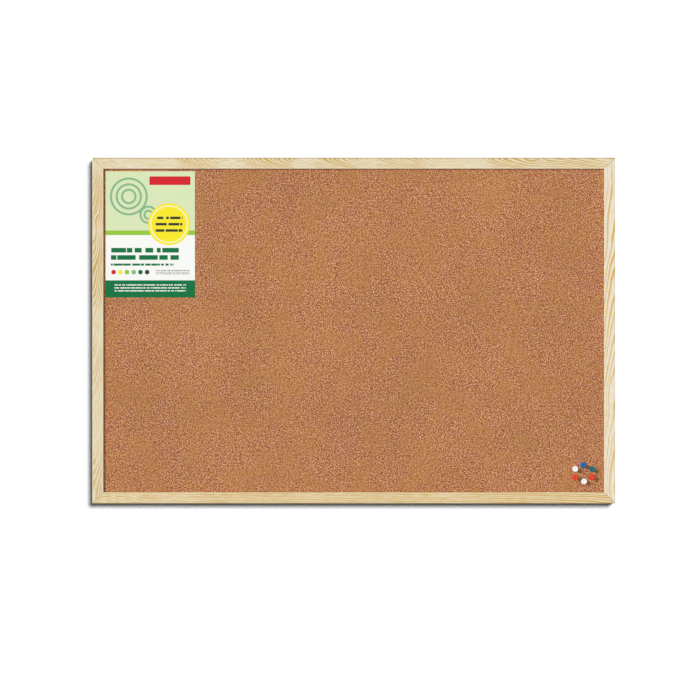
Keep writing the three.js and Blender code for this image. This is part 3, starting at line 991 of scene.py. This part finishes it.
def hanger_ring(side, pivot, steel):
    low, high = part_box(f"hanger_{side}_ring")
    half = (high.x - low.x) / 2 - ring_wire_radius
    bow = low.z + ring_wire_radius - pivot.z + half
    corner = ring_corner_radius
    flat = [(ring_split / 2, 0)]
    flat += arc((half - corner, -corner), corner, 90, 0, ring_corner_steps)
    flat += arc((0, bow), half, 0, -180, ring_bow_steps)
    flat += arc((corner - half, -corner), corner, 180, 90, ring_corner_steps)
    flat.append((-ring_split / 2, 0))
    path = [(x, 0, z) for x, z in flat]
    ring = sweep(side + "_hanger_ring", path, ring_wire_radius, ring_wire_sides, Matrix.Translation(pivot))
    dress(ring, side + "_ring", steel, f"hanger_{side}_ring")


def hanger_screw(side, steel):
    low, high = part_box(f"hanger_{side}_screw")
    middle = (low + high) / 2
    seat_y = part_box(f"hanger_{side}_strap")[0].y + strap_thickness
    seat = Matrix.Translation((middle.x, seat_y, middle.z)) @ Matrix.Rotation(-math.pi / 2, 4, "X")
    radius = (high.x - low.x) / 2
    height = high.y - seat_y
    reach = seat_y - low.y
    profile = [(0, -reach), (screw_shank_radius, screw_tip - reach), (screw_shank_radius, 0), (radius, 0)]
    profile.append((radius, screw_head_rim))
    profile += curve((radius, screw_head_rim), (radius, height), (0, height), screw_head_steps)
    screw = lathe(side + "_hanger_screw", profile, screw_sides, seat)
    span, width = screw_recess_span / 2, screw_recess_width / 2
    cross = [(span, width), (width, width), (width, span), (-width, span), (-width, width), (-span, width)]
    cross += [(-x, -z) for x, z in cross]
    turned = Matrix.Translation((middle.x, 0, middle.z)) @ Matrix.Rotation(math.radians(screw_turn), 4, "Y")
    cut(screw, prism("recess", cross, high.y - screw_recess_depth, high.y + cut_overrun, turned))
    dress(screw, "board", steel, f"hanger_{side}_screw")


def ring_hangers(steel):
    pivots = {joint["name"]: Vector(joint["pos_m"]) for joint in frame["joints"] if "pos_m" in joint}
    for side in ("left", "right"):
        pivot = pivots[f"hanger_{side}_swing"]
        hanger_strap(side, pivot, steel)
        hanger_ring(side, pivot, steel)
        hanger_screw(side, steel)


# Wall, floor and lamps, whose angles are in degrees
wall_gap = 5 * mm
floor_drop = 0.9
wall_y = board_high.y + wall_gap
floor_z = board_low.z - floor_drop
stage_reach = 8.0
wall_shade = (0.196, 0.2, 0.204)
floor_shade = (0.9, 0.9, 0.9)
stage_grain_size = 25 * mm
stage_grain_share = 0.98
ambient = 0.45
lamps = {
    "key_lamp": dict(strength=2.22, towards=(-0.75, -1.0, 0.35), angle=13),
    "rear_lamp": dict(strength=2.3, towards=(0.8, 1.0, 0.3), angle=12),
    "wall_lamp": dict(strength=18.7, towards=(0.374, -1.0, 0.353), angle=22),
}


def stage_material(name, shade, one_sided):
    """Matt paint, which is clear from behind where it is one-sided."""
    paint = Paint(name, roughness=1.0, specular=0.0)
    darker = [stage_grain_share * channel for channel in shade]
    paint.finish(paint.mix(paint.noise(stage_grain_size), (*darker, 1), (*shade, 1)))
    if one_sided:
        behind = paint.add("NewGeometry", output="Backfacing")
        clear = paint.add("BsdfTransparent")
        shown = paint.add("MixShader", {0: behind, 1: paint.shader.outputs[0], 2: clear})
        paint.feed(paint.tree.nodes["Material Output"].inputs["Surface"], shown)
    return paint.material


def stage_plane(name, corners, material):
    """A plane that shows to the camera and throws no light on the board."""
    mesh = bpy.data.meshes.new(name)
    mesh.from_pydata(corners, [], [(0, 1, 2, 3)])
    mesh.materials.append(material)
    plane = place_object(name, mesh)
    plane.visible_diffuse = False
    plane.visible_glossy = False
    plane.visible_transmission = False
    return plane


def build_stage():
    reach, low, high = stage_reach, board_middle.x - stage_reach, board_middle.x + stage_reach
    corners = [(low, wall_y, floor_z), (high, wall_y, floor_z), (high, wall_y, reach), (low, wall_y, reach)]
    wall = stage_plane("wall", corners, stage_material("wall_paint", wall_shade, one_sided=True))
    wall.visible_shadow = False
    corners = [(low, -reach, floor_z), (high, -reach, floor_z), (high, reach, floor_z), (low, reach, floor_z)]
    floor = stage_plane("floor", corners, stage_material("floor_paint", floor_shade, one_sided=False))
    return wall, floor


def sun(name, strength, towards, angle, receivers):
    lamp = bpy.data.lights.new(name, "SUN")
    lamp.energy = strength
    lamp.angle = math.radians(angle)
    thing = place_object(name, lamp)
    thing.rotation_euler = Vector(towards).to_track_quat("Z", "Y").to_euler()
    thing.light_linking.receiver_collection = receivers


def light_stage(stage_objects):
    """The wall lamp lights the wall and floor alone, and the other lamps light all but these."""
    on_stage = bpy.data.collections.new("lit_by_wall_lamp")
    off_stage = bpy.data.collections.new("not_lit_by_key")
    for thing in stage_objects:
        on_stage.objects.link(thing)
        off_stage.objects.link(thing)
    for member in off_stage.collection_objects:
        member.light_linking.link_state = "EXCLUDE"
    for name, lamp in lamps.items():
        sun(name, receivers=on_stage if name == "wall_lamp" else off_stage, **lamp)


def build_world():
    """White to the camera, in gloss and through glass, and an even ambient light on the board."""
    world = bpy.data.worlds.new("studio")
    bpy.context.scene.world = world
    world.use_nodes = True
    tree = world.node_tree
    rays = tree.nodes.new("ShaderNodeLightPath")
    seen = rays.outputs["Is Camera Ray"]
    for name in ("Is Glossy Ray", "Is Transmission Ray"):
        either = tree.nodes.new("ShaderNodeMath")
        either.operation = "MAXIMUM"
        tree.links.new(seen, either.inputs[0])
        tree.links.new(rays.outputs[name], either.inputs[1])
        seen = either.outputs[0]
    level = tree.nodes.new("ShaderNodeMapRange")
    level.inputs["To Min"].default_value = ambient
    tree.links.new(seen, level.inputs["Value"])
    background = tree.nodes["Background"]
    background.inputs["Color"].default_value = (1, 1, 1, 1)
    tree.links.new(level.outputs[0], background.inputs["Strength"])


def build_camera():
    metres_per_pixel = board_size.x / board_width_in_picture
    right = (picture_size / 2 - board_middle_in_picture[0]) * metres_per_pixel
    up = (board_middle_in_picture[1] - picture_size / 2) * metres_per_pixel
    data = bpy.data.cameras.new("camera")
    data.sensor_width = sensor_width
    data.lens = sensor_width * camera_distance / (picture_size * metres_per_pixel)
    data.clip_end = camera_sight
    place = (board_middle.x + right, board_low.y - camera_distance, board_middle.z + up)
    camera = place_object("camera", data, Matrix.Translation(place))
    camera.rotation_euler = (math.pi / 2, 0, 0)
    bpy.context.scene.camera = camera


def build_board():
    bright_steel = steel_material("bright_steel_wire", **steel_finishes["bright"])
    plated_steel = steel_material("zinc_plated_steel", **steel_finishes["plated"])
    cork = cork_material()
    frame_members()
    cad_materials = {"cork_front": cork, "cork_rear": cork, "core_board": softboard_material()}
    cad_materials |= {"v_nail_" + corner: bright_steel for corner in board_corners}
    for node, material in cad_materials.items():
        paint_piece(frame["nodes"][node], material)
    printed_card()
    plastics = {slot: plastic_material(slot + "_plastic", shade) for slot, shade in plastic_colours.items()}
    for name in pin_names:
        slot = "pin_" + name.split("_")[0]
        push_pin(name, plastics[slot], bright_steel)
    ring_hangers(plated_steel)


build_camera()
build_board()
light_stage(build_stage())
build_world()
bpy.context.scene.view_settings.view_transform = "Standard"
